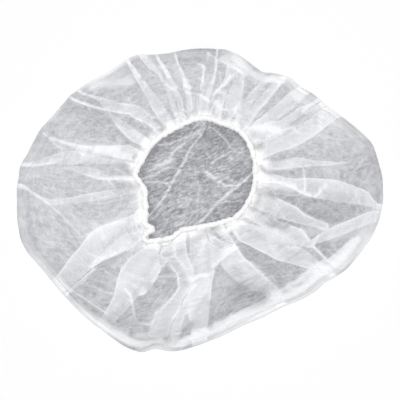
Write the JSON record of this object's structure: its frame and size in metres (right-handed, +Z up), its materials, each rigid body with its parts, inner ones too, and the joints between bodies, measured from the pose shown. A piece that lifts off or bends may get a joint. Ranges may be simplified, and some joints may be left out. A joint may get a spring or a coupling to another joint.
{
  "type": "disposable bouffant cap",
  "caption": "Disposable hair cover: one gathered disc of sheer nonwoven cloth with an elastic hem round its mouth, lying crown down.",
  "frame": {"origin": "centre of the outline, on the surface that the crown lies on", "axes": "+Z up through the open mouth, +X along the longest side of the outline"},
  "size_m": [0.3622, 0.2976, 0.0429],
  "materials": {
    "nonwoven_cloth": "sheer spunbond nonwoven, matte, fine random fibres",
    "hem_cloth": "the same cloth rolled and gathered tight, matte white"
  },
  "bodies": {
    "root": {"bonnet": "nonwoven_cloth", "elastic_hem": "hem_cloth"}
  },
  "joints": []
}
